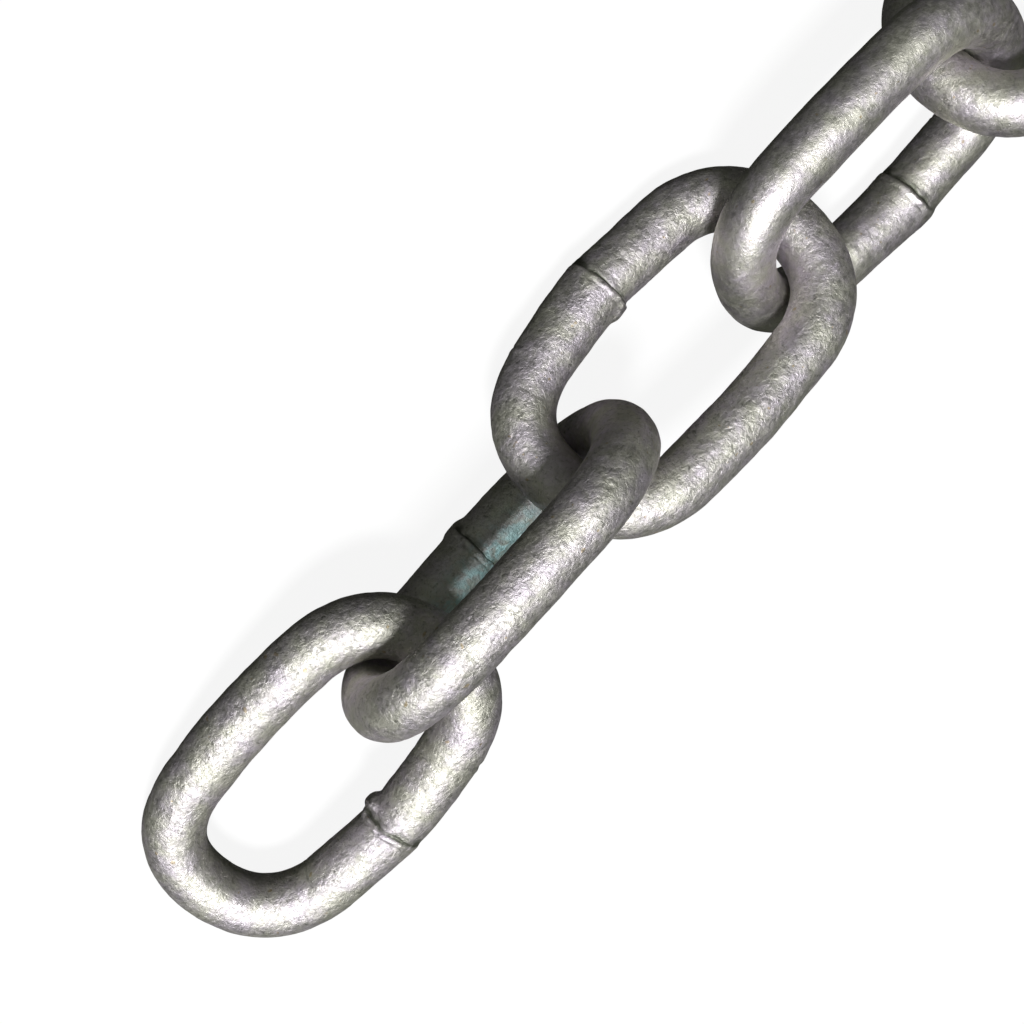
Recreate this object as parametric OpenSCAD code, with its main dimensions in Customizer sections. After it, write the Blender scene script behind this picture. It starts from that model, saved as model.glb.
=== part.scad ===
// Length of galvanised anchor chain: five welded links of round bar, lying on a flat floor.
// The chain runs along +X. Its origin is on the floor, at the middle of its length and width.

/* [Bar] */
// Thickness of the round bar
bar_d = 13; // [12:0.5:14]

/* [Link] */
// Clear length inside a link
inner_length = 57; // [54:0.5:60]
// Clear width inside a link
inner_width = 25.5; // [24:0.5:27]
// Radius of the bar's centreline at the four corners
corner_r = 17; // [15:0.5:18]
// Radius of the bar's centreline round the flattened ends
crown_r = 25; // [23:0.5:28]
// How much thinner the bar is where it is bent round a corner
bend_thinning = 0.05; // [0.04:0.01:0.1]

/* [Weld] */
// Angle between each half of the welded leg and the length of the link
weld_kink = 3; // [1:0.5:5]
// Length of the weld bead along the leg
bead_length = 3.6; // [3:0.1:5]
// Height of the weld bead above the bar
bead_height = 0.6; // [0.3:0.1:1]

/* [How the five links lie] */
// Middle of each link along the chain
centre_x = [-110, -57, -2, 53, 109]; // [-150:1:150]
// Middle of each link across the chain
centre_y = [-2, 5, 5, 0, -1]; // [-20:1:20]
// Turn of each link about its own length; at 0 it lies flat with its weld on the +Y side
roll = [175, -100, -33, -147, -43]; // [-180:1:180]
// Slope of each link's length; positive puts its +X end lower
slope = [-13, 0, 6, -2, 0]; // [-20:1:20]
// Turn of each link on the floor, away from +X
heading = [6, 0, -3, -1, -4]; // [-20:1:20]

/* [Hidden] */
$fn = 64;

zinc_grey = [0.62, 0.63, 0.61];
bar_r = bar_d / 2;
// Half the length and half the width of the bar's centreline
half_l = inner_length / 2 + bar_r;
half_w = inner_width / 2 + bar_r;
// A corner's thinner bar runs this far into the bars that it joins
lap = 0.4;
lap_turn = lap / corner_r * 180 / PI;
// The two halves of the welded leg stop this far short of each other, inside the bead
weld_gap = 0.8;
// The bead is flat on top for a third of its length, and its feet are just inside the bar
bead_flat = bead_length / 3;
bead_foot_r = bar_r - 0.3;

// Angle that a corner turns through, between a leg at this kink and the crown
function corner_turn(kink) =
    acos((half_w * cos(kink) - (half_l - crown_r) * sin(kink) - corner_r) / (crown_r - corner_r));

// Direction from the crown's centre to the place where the corner meets the crown
function crown_end(kink) = 90 - kink - corner_turn(kink);

// Centre of a corner's arc
function corner_centre(kink) =
    [half_l - crown_r, 0] + (crown_r - corner_r) * [cos(crown_end(kink)), sin(crown_end(kink))];

// Length of straight bar from the middle of a leg to its corner
function half_leg(kink) =
    norm(corner_centre(kink) + corner_r * [sin(kink), cos(kink)] - [0, half_w]);

// Direction straight down, in the plane of a link that lies at this roll and slope
function downward(roll, slope) = [sin(slope), -cos(slope) * sin(roll)];

// Furthest that the bar's centreline goes from the link's middle in a direction in its plane
function reach(way) =
    let(
        kink = way.y > 0 ? weld_kink : 0,
        side = [abs(way.x), abs(way.y)],
        angle = atan2(side.y, side.x)
    )
    angle < crown_end(kink) ? side.x * (half_l - crown_r) + norm(way) * crown_r :
    angle < 90 - kink ? side * corner_centre(kink) + norm(way) * corner_r :
    side.y * half_w;

// Furthest that the weld bead goes from the link's middle in a direction in its plane
function bead_reach(way) =
    way.y * half_w + (bar_r + bead_height) * sqrt(1 - way.x ^ 2) + abs(way.x) * bead_flat / 2;

// Height of a link's middle when its lowest point is on the floor
function resting_height(roll, slope) =
    let(way = downward(roll, slope))
    max(reach(way) + bar_r, bead_reach(way));

// Bar bent round an arc in the XY plane, from one direction through a turn
module bent_bar(radius, thickness, from, turn) {
    rotate([0, 0, from])
        rotate_extrude(angle = turn)
            translate([radius, 0])
                circle(d = thickness);
}

// Straight bar along +X, from one distance to another
module straight_bar(from, to) {
    translate([from, 0, 0])
        rotate([0, 90, 0])
            cylinder(d = bar_d, h = to - from);
}

// Corner between a leg at this kink, on the +Y side, and the crown at the +X end
module corner(kink) {
    translate(corner_centre(kink))
        bent_bar(
            corner_r,
            bar_d - 2 * bend_thinning,
            crown_end(kink) - lap_turn,
            corner_turn(kink) + 2 * lap_turn
        );
}

// Flattened end of the link, where its neighbour bears, with both corners
module link_end() {
    translate([half_l - crown_r, 0])
        bent_bar(crown_r, bar_d, -crown_end(0), crown_end(0) + crown_end(weld_kink));
    corner(weld_kink);
    mirror([0, 1, 0])
        corner(0);
}

// Half of the welded leg, which leans in from the weld towards the +X end
module half_welded_leg() {
    translate([0, half_w])
        rotate([0, 0, -weld_kink])
            straight_bar(weld_gap, half_leg(weld_kink));
}

// Leg with no weld
module plain_leg() {
    translate([0, -half_w])
        straight_bar(-half_leg(0), half_leg(0));
}

// Raised bead round the butt weld
module weld_bead() {
    translate([0, half_w])
        rotate([0, 90, 0])
            rotate_extrude()
                polygon([
                    [0, -bead_length / 2],
                    [bead_foot_r, -bead_length / 2],
                    [bar_r + bead_height, -bead_flat / 2],
                    [bar_r + bead_height, bead_flat / 2],
                    [bead_foot_r, bead_length / 2],
                    [0, bead_length / 2]
                ]);
}

// One whole link, flat in the XY plane about its own middle
module link() {
    for (end = [0, 1])
        mirror([end, 0, 0]) {
            link_end();
            half_welded_leg();
        }
    plain_leg();
    weld_bead();
}

// A link of the chain where it lies, counted from the free end at -X
module link_in_place(number) {
    i = number - 1;
    color(zinc_grey)
        translate([centre_x[i], centre_y[i], resting_height(roll[i], slope[i])])
            rotate([roll[i], slope[i], heading[i]])
                link();
}

module link_1() { link_in_place(1); }
module link_2() { link_in_place(2); }
module link_3() { link_in_place(3); }
module link_4() { link_in_place(4); }
module link_5() { link_in_place(5); }

link_1();
link_2();
link_3();
link_4();
link_5();
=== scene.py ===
# Length of galvanised anchor chain: five butt-welded links of round bar, lying on a pale floor.
# Each link is one swept mesh with its weld, its dents and its lumpy zinc, and stands for its CAD link.
import math
import random
from collections import namedtuple

import bpy
import numpy as np
from mathutils import Euler, Matrix, Vector, noise


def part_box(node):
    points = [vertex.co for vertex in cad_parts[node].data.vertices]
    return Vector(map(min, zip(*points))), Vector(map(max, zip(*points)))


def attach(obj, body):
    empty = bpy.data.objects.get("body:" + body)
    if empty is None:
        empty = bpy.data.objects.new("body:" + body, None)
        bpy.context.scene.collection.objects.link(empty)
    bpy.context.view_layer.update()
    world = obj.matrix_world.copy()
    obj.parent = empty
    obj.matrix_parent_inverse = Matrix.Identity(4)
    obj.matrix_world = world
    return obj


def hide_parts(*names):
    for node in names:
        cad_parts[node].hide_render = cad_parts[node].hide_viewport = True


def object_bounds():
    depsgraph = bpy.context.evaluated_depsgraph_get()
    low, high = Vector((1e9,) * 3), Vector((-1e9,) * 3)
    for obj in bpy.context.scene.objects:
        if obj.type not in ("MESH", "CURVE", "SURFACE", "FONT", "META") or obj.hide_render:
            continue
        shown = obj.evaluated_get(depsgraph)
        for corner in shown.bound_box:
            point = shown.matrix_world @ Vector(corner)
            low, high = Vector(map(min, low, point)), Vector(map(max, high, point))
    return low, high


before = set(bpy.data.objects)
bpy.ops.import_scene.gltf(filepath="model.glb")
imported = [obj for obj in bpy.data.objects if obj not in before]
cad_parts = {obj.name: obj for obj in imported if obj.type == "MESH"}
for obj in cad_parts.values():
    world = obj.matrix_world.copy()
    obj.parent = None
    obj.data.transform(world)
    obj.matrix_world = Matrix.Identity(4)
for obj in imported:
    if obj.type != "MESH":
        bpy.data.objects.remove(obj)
CAD_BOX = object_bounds()

# A link is worked out in millimetres and made in metres
MM = 0.001

# ---- The link. These are the driving sizes of the CAD links. ----
BAR_R = 6.5
# Half the length and half the width of the bar's centreline
HALF_LENGTH = 35.0
HALF_WIDTH = 19.25
# Centreline radii of the corners and of the flattened ends, the crowns
CORNER_R = 17.0
CROWN_R = 25.0
# Angle between each half of the welded leg and the length of the link
WELD_KINK = math.radians(3)

# Roll about its own length, slope and heading of each link, in degrees, as the CAD places it
LIES = {
    "link_1": (175, -13, 6),
    "link_2": (-100, 0, 0),
    "link_3": (-33, 6, -3),
    "link_4": (-147, -2, -1),
    "link_5": (-43, 0, -4),
}

# How far each link is pulled in at its four corners: beside the weld at +X and -X, and on the other leg at
# -X and +X. Between its corners each leg then bows out a little.
PULLED_IN = {
    "link_1": (1.0, 0.5, 0.8, 0.8),
    "link_2": (0.1, 0.6, 0.5, 0.3),
    "link_3": (0.2, 0.95, 0.6, 0.5),
    "link_4": (0.3, 0.4, 0.4, 0.5),
    "link_5": (0.6, 0.5, 0.7, 0.6),
}
# Distance along the link from its middle to where it is pulled in most, and the half-length of the pull
PULL_PLACE = 23.0
PULL_LENGTH = 9.0
BOWED_OUT = 0.35
BOW_LENGTH = 11.0

# Rings of vertices along the quarters of a link beside the weld and away from it, and vertices in a ring
WELD_RINGS = 180
PLAIN_RINGS = 140
RING_VERTICES = 120

# ---- Weld. Angles round the bar start at the link's outer side; half a turn is the inner side. ----
# place: how far the seam is from the middle of the leg; lean: how much further, on the flash's side.
# thick_side: which way along the leg the bar is thicker; upset: by how much it is thicker at the seam.
# lip: height of the ridge of metal beside the seam.
# flash: a lump squeezed out of the weld. Its angle round the bar is in degrees, its length is half of the
# whole, and its place is its distance from the seam towards the thicker side.
Weld = namedtuple(
    "Weld", "place lean thick_side upset lip flash_angle flash_height flash_length flash_place"
)
WELDS = {
    "link_1": Weld(-1.1, -1.0, -1, 0.05, 0.24, 172, 1.50, 2.3, -2.0),
    "link_2": Weld(0.0, 0.2, -1, 0.10, 0.20, 75, 0.50, 2.4, 0.4),
    "link_3": Weld(0.0, 0.2, -1, 0.22, 0.24, 185, 0.70, 2.4, 1.5),
    "link_4": Weld(4.5, 0.3, -1, 0.35, 0.22, 290, 0.30, 3.0, 1.8),
    "link_5": Weld(0.0, 0.2, 1, 0.12, 0.20, 170, 0.70, 2.0, 0.6),
}
# How far noise moves the seam to and fro
SEAM_WANDER = 0.35
# Half-lengths along which the upset fades, towards the thicker side and away from it
UPSET_LENGTH = 7.0
UPSET_STEP = 1.6
# Distance of the lip from the seam, towards the thicker side, and its half-width
LIP_PLACE = 0.8
LIP_WIDTH = 0.7
# Grooves of the weld. place: distance from the seam, towards the thicker side; width: half of the whole;
# dirt: how dark the dirt and the painted shade in it are.
Groove = namedtuple("Groove", "place width depth dirt")
CRACK = Groove(-0.1, 0.42, 0.26, 0.8)
TROUGH = Groove(-0.9, 0.95, 0.20, 0.55)
EDGE_OF_LIP = Groove(1.8, 0.3, 0.12, 0.4)
# How much wider the flash is round the bar than along it, and how dark it is
FLASH_SPREAD = 1.25
FLASH_DIRT = 0.4
# The weld's relief stops this far from the middle of the leg
WELD_REACH = 17
# The CAD's weld bead: its height, and the length along which it is highest
BEAD_HEIGHT = 0.6
BEAD_FLAT = 1.2
# Distance from the middle of the leg of the marks that the welding clamps leave, their depth, the height of
# the ridge beside each, and how dark the dirt and the painted shade in them are
CLAMP_MARK = 19.5
CLAMP_DEPTH = 0.20
CLAMP_RIDGE = 0.12
CLAMP_DIRT_AND_SHADE = 0.45

# ---- The zinc: lumps, pits, dents, wear, and patina with a painted sheen ----
# Sizes of the lumps, and the height of each at most
WIDE_LUMP = 15
WIDE_LUMP_HEIGHT = 0.20
SMALL_LUMP = 4.2
SMALL_LUMP_HEIGHT = 0.12
# Sizes of the noise that bends the welds and of the noise that breaks them up, which also pits the zinc
WANDER_SIZE = 2.6
CRUMB_SIZE = 1.25
PIT_DEPTH = 0.04
# Sizes of the dents, and their heights: a dent is a hollow when it is negative, and a blob of zinc if not
DENTS_PER_LINK = 26
DENT_SIZES = (0.5, 1.5)
DENT_HEIGHTS = (-0.22, 0.12)
# The zinc is rubbed away on the crowns' inner side: along a half-length, round a half-angle, by a depth
WORN_LENGTH = 15
WORN_ANGLE = 1.1
WORN_DEPTH = 0.10
# How far each link's zinc is rubbed smooth all over
POLISH = {"link_4": 0.5, "link_5": 0.3}
# How strong the blue-green patina and painted bluish sheen are on a link's welded leg, its half-length,
# the angle round the bar of the strip where the lamp's light falls, where it is strongest, and its
# half-angle
PATINA_AND_SHEEN = {"link_2": 1.0}
PATINA_AND_SHEEN_LENGTH = 17
LIT_STRIP_ANGLE = math.radians(205)
PATINA_AND_SHEEN_SPREAD = 0.75


def corner_turn(kink):
    """Angle that a corner turns through, between a leg at this kink and the crown."""
    across = HALF_WIDTH * math.cos(kink) - (HALF_LENGTH - CROWN_R) * math.sin(kink) - CORNER_R
    return math.acos(across / (CROWN_R - CORNER_R))


def quarter(kink, spots):
    """Centreline of a quarter link, at spots from 0 on the crown to 1 at the middle of the leg.

    Gives the points, their outward angles and their distances from the crown.
    """
    crown_end = math.pi / 2 - kink - corner_turn(kink)
    crown_centre = np.array([HALF_LENGTH - CROWN_R, 0.0])
    crown_way = np.array([math.cos(crown_end), math.sin(crown_end)])
    corner_centre = crown_centre + (CROWN_R - CORNER_R) * crown_way
    leg_angle = math.pi / 2 - kink
    leg_start = corner_centre + CORNER_R * np.array([math.cos(leg_angle), math.sin(leg_angle)])
    leg_length = np.linalg.norm(leg_start - np.array([0.0, HALF_WIDTH]))
    crown_length = CROWN_R * crown_end
    corner_length = CORNER_R * corner_turn(kink)
    along = spots * (crown_length + corner_length + leg_length)

    points = np.empty((len(spots), 2))
    angles = np.empty(len(spots))
    for i, s in enumerate(along):
        if s < crown_length:
            angles[i] = s / CROWN_R
            points[i] = crown_centre + CROWN_R * np.array([math.cos(angles[i]), math.sin(angles[i])])
        elif s < crown_length + corner_length:
            angles[i] = crown_end + (s - crown_length) / CORNER_R
            points[i] = corner_centre + CORNER_R * np.array([math.cos(angles[i]), math.sin(angles[i])])
        else:
            angles[i] = leg_angle
            tangent = np.array([-math.sin(leg_angle), math.cos(leg_angle)])
            points[i] = leg_start + (s - crown_length - corner_length) * tangent
    return points, angles, along


def bump(distance, half_width):
    """Smooth bump of height 1 at no distance."""
    return np.exp(-((distance / half_width) ** 2))


def centreline(pulls, bow):
    """The whole closed centreline, pulled in at its corners and bowed out between them.

    Gives the points, their outward directions and their distances from the nearest crown.
    """
    # Rings crowd together towards the weld, which has the finest detail
    back = 1 - np.arange(WELD_RINGS) / WELD_RINGS
    weld_spots = 1 - (0.3 * back + 0.7 * back ** 1.5)
    plain_spots = np.arange(PLAIN_RINGS) / PLAIN_RINGS
    points, outward, from_crown = [], [], []
    # Each quarter ends where the next one starts, so it leaves its last spot out
    weld_back = np.append(1.0, weld_spots[:0:-1])
    for pull, kink, spots, x_side, y_side in zip(
        pulls,
        (WELD_KINK, WELD_KINK, 0.0, 0.0),
        (weld_spots, weld_back, plain_spots, 1 - plain_spots),
        (1, -1, -1, 1),
        (1, 1, -1, -1),
    ):
        spine, angles, along = quarter(kink, spots)
        x = spine[:, 0]
        way = np.column_stack([np.cos(angles), np.sin(angles)])
        shift = bow * bump(x, BOW_LENGTH) - pull * bump(x - PULL_PLACE, PULL_LENGTH)
        points.append((spine + shift[:, None] * way) * (x_side, y_side))
        outward.append(way * (x_side, y_side))
        from_crown.append(along)
    return np.concatenate(points), np.concatenate(outward), np.concatenate(from_crown)


def turned(angle, centre):
    """Angle from a centre, between -pi and pi."""
    return (angle - centre + math.pi) % (2 * math.pi) - math.pi


def weld_relief(x, around, weld, wander, crumbs):
    """Height of the weld over the bar, and how much dirt and painted shade is on it. x runs along the leg.
    """
    from_flash = around - math.radians(weld.flash_angle)
    seam = weld.place + weld.lean * np.cos(from_flash)
    # Distance from the seam, towards the thicker side
    along = (x - seam) * weld.thick_side + SEAM_WANDER * wander
    # 1 on the flash's side of the bar, and 0 on the other side
    flash_side = 0.5 + 0.5 * np.cos(from_flash)

    upset = weld.upset * np.where(along > 0, bump(along, UPSET_LENGTH), bump(along, UPSET_STEP))
    lip = weld.lip * flash_side * np.clip(0.9 + 1.6 * wander + 1.6 * crumbs, 0, 2)
    lip = lip * bump(along - LIP_PLACE, LIP_WIDTH)

    # The grooves get dirt and painted shade, darker where they are deeper
    hollow = np.zeros_like(x)
    dirt = np.zeros_like(x)
    for groove, strength in (
        (CRACK, np.clip(1.2 + 0.5 * wander, 0, 2)),
        (TROUGH, np.clip(1.0 + 0.9 * wander, 0, 2)),
        (EDGE_OF_LIP, np.clip(0.5 + 2.5 * wander + 1.5 * crumbs, 0, 1.5)),
    ):
        cut = strength * bump(along - groove.place, groove.width)
        hollow += groove.depth * cut
        dirt += groove.dirt * cut
    hollow *= 0.55 + 0.45 * flash_side

    # Squared distance from the flash's middle, against its size; the flash covers the seam where it lies
    off_flash = turned(around, math.radians(weld.flash_angle)) * BAR_R
    across = off_flash / (FLASH_SPREAD * weld.flash_length)
    lump = ((along - weld.flash_place) / weld.flash_length) ** 2 + across ** 2
    flash = weld.flash_height * np.exp(-(lump ** 2.2))
    bare = 1 - np.exp(-(lump ** 2))
    return upset + (lip - hollow) * bare + flash, dirt * bare + FLASH_DIRT * (1 - bare)


def clamp_relief(x, around, wander, chance):
    """Shallow marks where the welding clamps gripped the bar: their height, and their dirt and painted
    shade.
    """
    height = np.zeros_like(x)
    dirt = np.zeros_like(x)
    for side in (-1, 1):
        start = chance.uniform(0, 2 * math.pi)
        reach = bump(turned(around, start), chance.uniform(0.8, 1.4))
        off = x - side * (CLAMP_MARK + chance.uniform(-1, 1)) + 0.8 * wander
        height += reach * (CLAMP_RIDGE * bump(off + 0.5, 0.45) - CLAMP_DEPTH * bump(off, 0.36))
        dirt += CLAMP_DIRT_AND_SHADE * reach * bump(off, 0.4)
    return height, dirt


def dent_relief(points, chance):
    """Small knocks and blobs at random places on the bar."""
    height = np.zeros(len(points))
    for _ in range(DENTS_PER_LINK):
        place = points[chance.randrange(len(points))]
        size = chance.uniform(*DENT_SIZES)
        middle_height = chance.uniform(*DENT_HEIGHTS)
        distance = np.linalg.norm(points - place, axis=1)
        height += middle_height * np.exp(-((distance / size) ** 3))
    return height


def noise_field(points, size, offset):
    """Perlin noise at each point, with bumps of about this size."""
    return np.array([noise.noise(Vector(p) / size + offset) for p in points])


def tube(centres, outward):
    """Points of a plain bar round a centreline, with their middles, directions and angles round the bar."""
    rings = len(centres)
    around = np.tile(np.arange(RING_VERTICES) * 2 * math.pi / RING_VERTICES, rings)
    ring = np.repeat(np.arange(rings), RING_VERTICES)
    directions = np.zeros((rings * RING_VERTICES, 3))
    directions[:, :2] = outward[ring] * np.cos(around)[:, None]
    directions[:, 2] = np.sin(around)
    middles = np.zeros_like(directions)
    middles[:, :2] = centres[ring]
    return middles + BAR_R * directions, middles, directions, around


def cad_centre(name, turn_in_place):
    """Where the middle of a CAD link is, from its box and from the CAD's own shape of bar and bead."""
    centres, outward, _ = centreline((0, 0, 0, 0), 0)
    points, middles, directions, _ = tube(centres, outward)
    on_bead = (middles[:, 1] > 0) & (np.abs(middles[:, 0]) < BEAD_FLAT / 2)
    points = (points + np.where(on_bead, BEAD_HEIGHT, 0)[:, None] * directions) @ turn_in_place.T * MM
    low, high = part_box(name)
    return (np.array(low) + np.array(high)) / 2 - (points.min(0) + points.max(0)) / 2


def link_surface(name, number):
    """Points of one link with all its relief, in millimetres, and its wear, dirt, painted shade, patina,
    sheen.
    """
    chance = random.Random(100 + number)
    centres, outward, from_crown = centreline(PULLED_IN[name], BOWED_OUT)
    plain, middles, directions, around = tube(centres, outward)
    from_crown = np.repeat(from_crown, RING_VERTICES)
    on_weld_leg = plain[:, 1] > 0
    x = middles[:, 0]

    # Each link samples its own part of the noise
    offset = Vector((37.0 * number, 11.0 * number, 5.0))
    wander = noise_field(plain, WANDER_SIZE, offset)
    crumbs = noise_field(plain, CRUMB_SIZE, offset)

    weld, weld_dirt_and_shade = weld_relief(x, around, WELDS[name], wander, crumbs)
    near_weld = on_weld_leg & (np.abs(x) < WELD_REACH)
    marks, mark_dirt_and_shade = clamp_relief(x, around, wander, chance)
    # Dirt and painted shade in the weld's grooves and in the clamp marks
    groove = np.where(near_weld, weld_dirt_and_shade, 0) + np.where(on_weld_leg, mark_dirt_and_shade, 0)

    wear = bump(from_crown, WORN_LENGTH) * bump(turned(around, math.pi), WORN_ANGLE)
    wear = np.maximum(wear, POLISH.get(name, 0.0))
    # Patina and painted sheen: blue-green painted on the strip of the welded leg where the light falls
    patina_and_sheen = PATINA_AND_SHEEN.get(name, 0.0) * on_weld_leg * bump(x, PATINA_AND_SHEEN_LENGTH)
    patina_and_sheen = patina_and_sheen * bump(turned(around, LIT_STRIP_ANGLE), PATINA_AND_SHEEN_SPREAD)

    # Wear takes the small lumps and the pits away first
    rough = 1 - 0.75 * wear
    relief = np.where(near_weld, weld, 0) + np.where(on_weld_leg, marks, 0)
    relief += WIDE_LUMP_HEIGHT * noise_field(plain, WIDE_LUMP, offset)
    relief += SMALL_LUMP_HEIGHT * rough * noise_field(plain, SMALL_LUMP, offset)
    relief += PIT_DEPTH * rough * crumbs + dent_relief(plain, chance) - WORN_DEPTH * wear
    return plain + relief[:, None] * directions, {"wear": wear, "groove": groove, "patina_and_sheen": patina_and_sheen}


def tube_faces(rings):
    """Four-sided faces between the vertices of each ring and the next, closed both ways."""
    first = np.arange(rings * RING_VERTICES).reshape(rings, RING_VERTICES)
    next_ring = np.roll(first, -1, axis=0)
    corners = [first, next_ring, np.roll(next_ring, -1, axis=1), np.roll(first, -1, axis=1)]
    return np.stack(corners, axis=-1).reshape(-1, 4)


def link_mesh(name, number):
    """One link as a closed tube, in metres, where the CAD link lies."""
    surface, facts = link_surface(name, number)
    turn_in_place = np.array(Euler([math.radians(a) for a in LIES[name]]).to_matrix())
    vertices = surface @ turn_in_place.T * MM + cad_centre(name, turn_in_place)

    mesh = bpy.data.meshes.new(name + "_zinc")
    mesh.from_pydata(vertices.tolist(), [], tube_faces(len(surface) // RING_VERTICES).tolist())
    mesh.shade_smooth()
    for label, values in facts.items():
        mesh.attributes.new(label, "FLOAT", "POINT").data.foreach_set("value", values.astype(np.float32))
    mesh.update()
    return mesh


# ---- Materials ----
class Nodes:
    """Short calls for making shader nodes."""

    def __init__(self, owner):
        owner.use_nodes = True
        self.tree = owner.node_tree
        self.tree.nodes.clear()

    def add(self, kind, inputs=None, **settings):
        node = self.tree.nodes.new(kind)
        for key, value in settings.items():
            setattr(node, key, value)
        for key, value in (inputs or {}).items():
            self.give(node.inputs[key], value)
        return node

    def give(self, socket, value):
        if isinstance(value, bpy.types.NodeSocket):
            self.tree.links.new(value, socket)
        else:
            socket.default_value = value

    def noise(self, place, size_mm, detail=2.0, roughness=0.5, distortion=0.0):
        """Noise between 0 and 1 with features of about this size."""
        node = self.add(
            "ShaderNodeTexNoise",
            {"Vector": place, "Scale": 1 / (size_mm * MM), "Detail": detail,
             "Roughness": roughness, "Distortion": distortion},
        )
        return node.outputs["Fac"]

    def spread(self, value, low, high, to_low=0.0, to_high=1.0):
        """Stretches a value's range, with its ends clamped."""
        node = self.add(
            "ShaderNodeMapRange",
            {"Value": value, "From Min": low, "From Max": high, "To Min": to_low, "To Max": to_high},
        )
        return node.outputs["Result"]

    def math(self, operation, a, b):
        return self.add("ShaderNodeMath", {0: a, 1: b}, operation=operation).outputs[0]

    def mix(self, share, a, b):
        """Colour that goes from a to b as the share goes from 0 to 1."""
        node = self.add("ShaderNodeMix", data_type="RGBA")
        colours = [socket for socket in node.inputs if socket.type == "RGBA"]
        self.give(node.inputs["Factor"], share)
        self.give(colours[0], a)
        self.give(colours[1], b)
        return next(socket for socket in node.outputs if socket.type == "RGBA")

    def attribute(self, name):
        return self.add("ShaderNodeAttribute", attribute_name=name).outputs["Fac"]


# Colours of the zinc, and of what lies on it
WARM_GREY = (0.590, 0.578, 0.520, 1)
COOL_GREY = (0.602, 0.553, 0.612, 1)
STAIN = (0.25, 0.26, 0.20, 1)
DARK_PIT = (0.12, 0.125, 0.10, 1)
BRIGHT_FLECK = (0.80, 0.78, 0.79, 1)
# Patina with a painted bluish sheen: its dark ground and its blue-green patches
PATINA_AND_SHEEN_GROUND = (0.16, 0.22, 0.20, 1)
BLUE_GREEN_SHEEN = (0.31, 0.48, 0.50, 1)
OCHRE = (0.36, 0.25, 0.07, 1)
GROOVE_DIRT_AND_SHADE = (0.09, 0.10, 0.07, 1)


def zinc_colour(n, place, flecks, unworn):
    """Grey with stains, pits, flecks, patina and painted sheen in patches, dirt and painted shade in
    grooves.
    """
    tint = n.spread(n.noise(place, 7.0, detail=4, roughness=0.65), 0.38, 0.62)
    base = n.mix(tint, WARM_GREY, COOL_GREY)
    stains = n.noise(place, 2.6, detail=4, roughness=0.65, distortion=0.6)
    base = n.mix(n.spread(stains, 0.34, 0.60, 0.30, 0.0), base, STAIN)

    # Pits and flecks are faint where the bar is rubbed
    dark = n.spread(flecks, 0.30, 0.46, 0.65, 0.0)
    light = n.spread(flecks, 0.52, 0.70, 0.0, 0.24)
    base = n.mix(n.math("MULTIPLY", dark, unworn), base, DARK_PIT)
    base = n.mix(n.math("MULTIPLY", light, unworn), base, BRIGHT_FLECK)

    # Blue-green patina, painted only on the lit strip, so it also paints the bluish light that falls there
    patina_and_sheen = n.attribute("patina_and_sheen")
    patches = n.spread(stains, 0.44, 0.57)
    base = n.mix(n.math("MULTIPLY", patina_and_sheen, 0.8), base, PATINA_AND_SHEEN_GROUND)
    base = n.mix(n.math("MULTIPLY", patina_and_sheen, patches), base, BLUE_GREEN_SHEEN)

    specks = n.spread(n.noise(place, 1.7, detail=1, roughness=0.4), 0.74, 0.78, 0.0, 0.5)
    base = n.mix(specks, base, OCHRE)
    # Dirt and painted shade darken the weld's grooves and the clamp marks
    return n.mix(n.spread(n.attribute("groove"), 0.2, 1.0, 0.0, 0.85), base, GROOVE_DIRT_AND_SHADE)


def zinc_bumps(n, place, flecks, unworn):
    """Shading normal of the zinc's grain, which is too fine for the mesh."""
    grain = n.noise(place, 0.42, detail=2, roughness=0.6, distortion=0.4)
    lumps = n.noise(place, 2.6, detail=2, roughness=0.5)
    fine = n.math("ADD", n.math("MULTIPLY", grain, 0.25), n.math("MULTIPLY", flecks, 1.9))
    height = n.math("ADD", fine, n.math("MULTIPLY", lumps, 2.2))
    height = n.math("MULTIPLY", height, unworn)
    bumped = n.add("ShaderNodeBump", {"Strength": 1.0, "Distance": 0.125 * MM, "Height": height})
    return bumped.outputs["Normal"]


def galvanised_steel():
    """Hot-dip zinc on steel: mottled grey, finely pitted, rubbed smooth where links bear on each other."""
    material = bpy.data.materials.new("galvanised_steel")
    n = Nodes(material)
    place = n.add("ShaderNodeTexCoord").outputs["Object"]
    wear = n.attribute("wear")
    unworn = n.spread(wear, 0.0, 0.8, 1.0, 0.25)
    flecks = n.noise(place, 0.9, detail=4, roughness=0.7, distortion=0.5)
    gloss = n.noise(place, 1.6, detail=4, roughness=0.6, distortion=0.8)
    roughness = n.math("SUBTRACT", n.spread(gloss, 0.3, 0.7, 0.48, 0.66), n.math("MULTIPLY", wear, 0.08))
    surface = n.add(
        "ShaderNodeBsdfPrincipled",
        {
            "Base Color": zinc_colour(n, place, flecks, unworn),
            "Metallic": 1.0,
            "Roughness": roughness,
            "Normal": zinc_bumps(n, place, flecks, unworn),
        },
    )
    output = n.add("ShaderNodeOutputMaterial")
    n.give(output.inputs["Surface"], surface.outputs["BSDF"])
    return material


def pale_ground(name, glow, colour):
    """Plain pale surface that partly glows, so that shadows on it stay faint."""
    material = bpy.data.materials.new(name)
    n = Nodes(material)
    matt = n.add("ShaderNodeBsdfDiffuse", {"Color": colour})
    light = n.add("ShaderNodeEmission", {"Color": colour, "Strength": 1.0})
    both = n.add("ShaderNodeMixShader", {0: glow, 1: matt.outputs[0], 2: light.outputs[0]})
    output = n.add("ShaderNodeOutputMaterial")
    n.give(output.inputs["Surface"], both.outputs[0])
    return material


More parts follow.
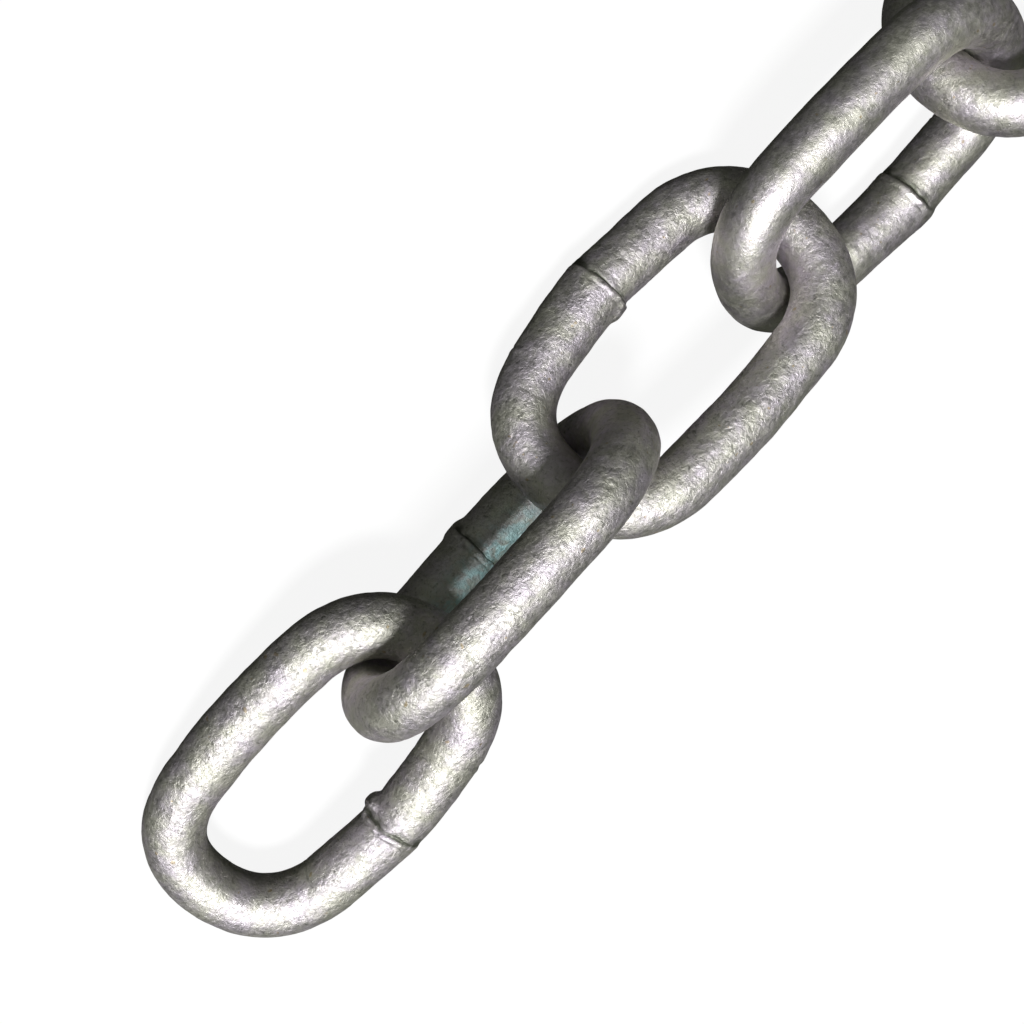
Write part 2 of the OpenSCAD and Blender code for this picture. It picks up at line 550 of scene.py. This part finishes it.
# ---- The five links ----
zinc = galvanised_steel()
for number, name in enumerate(sorted(LIES), start=1):
    piece = bpy.data.objects.new(name + "_galvanised", link_mesh(name, number))
    bpy.context.scene.collection.objects.link(piece)
    piece.data.materials.append(zinc)
    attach(piece, name)
    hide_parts(name)


# ---- Floor, backdrop and light ----
def camera_only(thing):
    """The stage shows, but sends no light back to the chain."""
    thing.visible_diffuse = False
    thing.visible_glossy = False


low, high = CAD_BOX
middle = (low + high) / 2

# Sizes of the stage, in metres
FLOOR_HALF = 12.0
BACKDROP_R = 0.9 * FLOOR_HALF
# The floor is just under the CAD's lowest point, because a lump of the zinc may reach a little lower
FLOOR_DROP = 0.2 * MM
bpy.ops.mesh.primitive_plane_add(size=2 * FLOOR_HALF, location=(middle.x, middle.y, low.z - FLOOR_DROP))
floor = bpy.context.object
floor.name = "floor"
floor.data.materials.append(pale_ground("pale_floor", 0.92, (0.98, 0.98, 0.98, 1)))
camera_only(floor)

bpy.ops.mesh.primitive_uv_sphere_add(radius=BACKDROP_R, location=(middle.x, middle.y, 0))
backdrop = bpy.context.object
backdrop.name = "backdrop"
backdrop.data.materials.append(pale_ground("pale_backdrop", 1.0, (0.94, 0.94, 0.94, 1)))
backdrop.visible_shadow = False
camera_only(backdrop)


def soft_light(name, towards, distance, size, power):
    """Square lamp that shines on the chain from a direction."""
    data = bpy.data.lights.new(name, "AREA")
    data.size = size
    data.energy = power
    lamp = bpy.data.objects.new(name, data)
    bpy.context.scene.collection.objects.link(lamp)
    direction = Vector(towards).normalized()
    lamp.location = middle + direction * distance
    lamp.rotation_euler = direction.to_track_quat("Z", "Y").to_euler()


# The lamp is above the chain, towards its free end
KEY_WAY = (-0.376, 0.02, 0.926)
soft_light("key", KEY_WAY, distance=3.0, size=0.6, power=128)

# The sky is brighter towards one side of the top
SKY_BRIGHT_WAY = (-0.46, -0.12, 0.88)
SKY_COLOUR = (1.0, 1.05, 0.91, 1)
world = bpy.data.worlds.new("studio")
bpy.context.scene.world = world
w = Nodes(world)
sky = w.add("ShaderNodeTexCoord").outputs["Generated"]
leaning = w.add("ShaderNodeVectorMath", {0: sky, 1: SKY_BRIGHT_WAY}, operation="DOT_PRODUCT")
strength = w.spread(leaning.outputs["Value"], -0.4, 1.0, 0.03, 0.23)
glow = w.add("ShaderNodeBackground", {"Color": SKY_COLOUR, "Strength": strength})
w.give(w.add("ShaderNodeOutputWorld").inputs["Surface"], glow.outputs[0])

# ---- Camera ----
CAMERA_PLACE = Vector((-0.0584, 0.1768, 0.3683))
CAMERA_AIM = Vector((-0.0471, 0.0079, 0.0200))
# The direction in the scene that points up in the picture
PICTURE_UP = Vector((0.741, 0.614, -0.274))
LENS_LENGTH = 69.8
camera_data = bpy.data.cameras.new("camera")
camera_data.lens = LENS_LENGTH
camera_data.sensor_width = 36
camera = bpy.data.objects.new("camera", camera_data)
bpy.context.scene.collection.objects.link(camera)
backward = (CAMERA_PLACE - CAMERA_AIM).normalized()
right = PICTURE_UP.cross(backward).normalized()
up = backward.cross(right)
camera.matrix_world = Matrix.Translation(CAMERA_PLACE) @ Matrix((right, up, backward)).transposed().to_4x4()
bpy.context.scene.camera = camera
bpy.context.scene.view_settings.view_transform = "Standard"
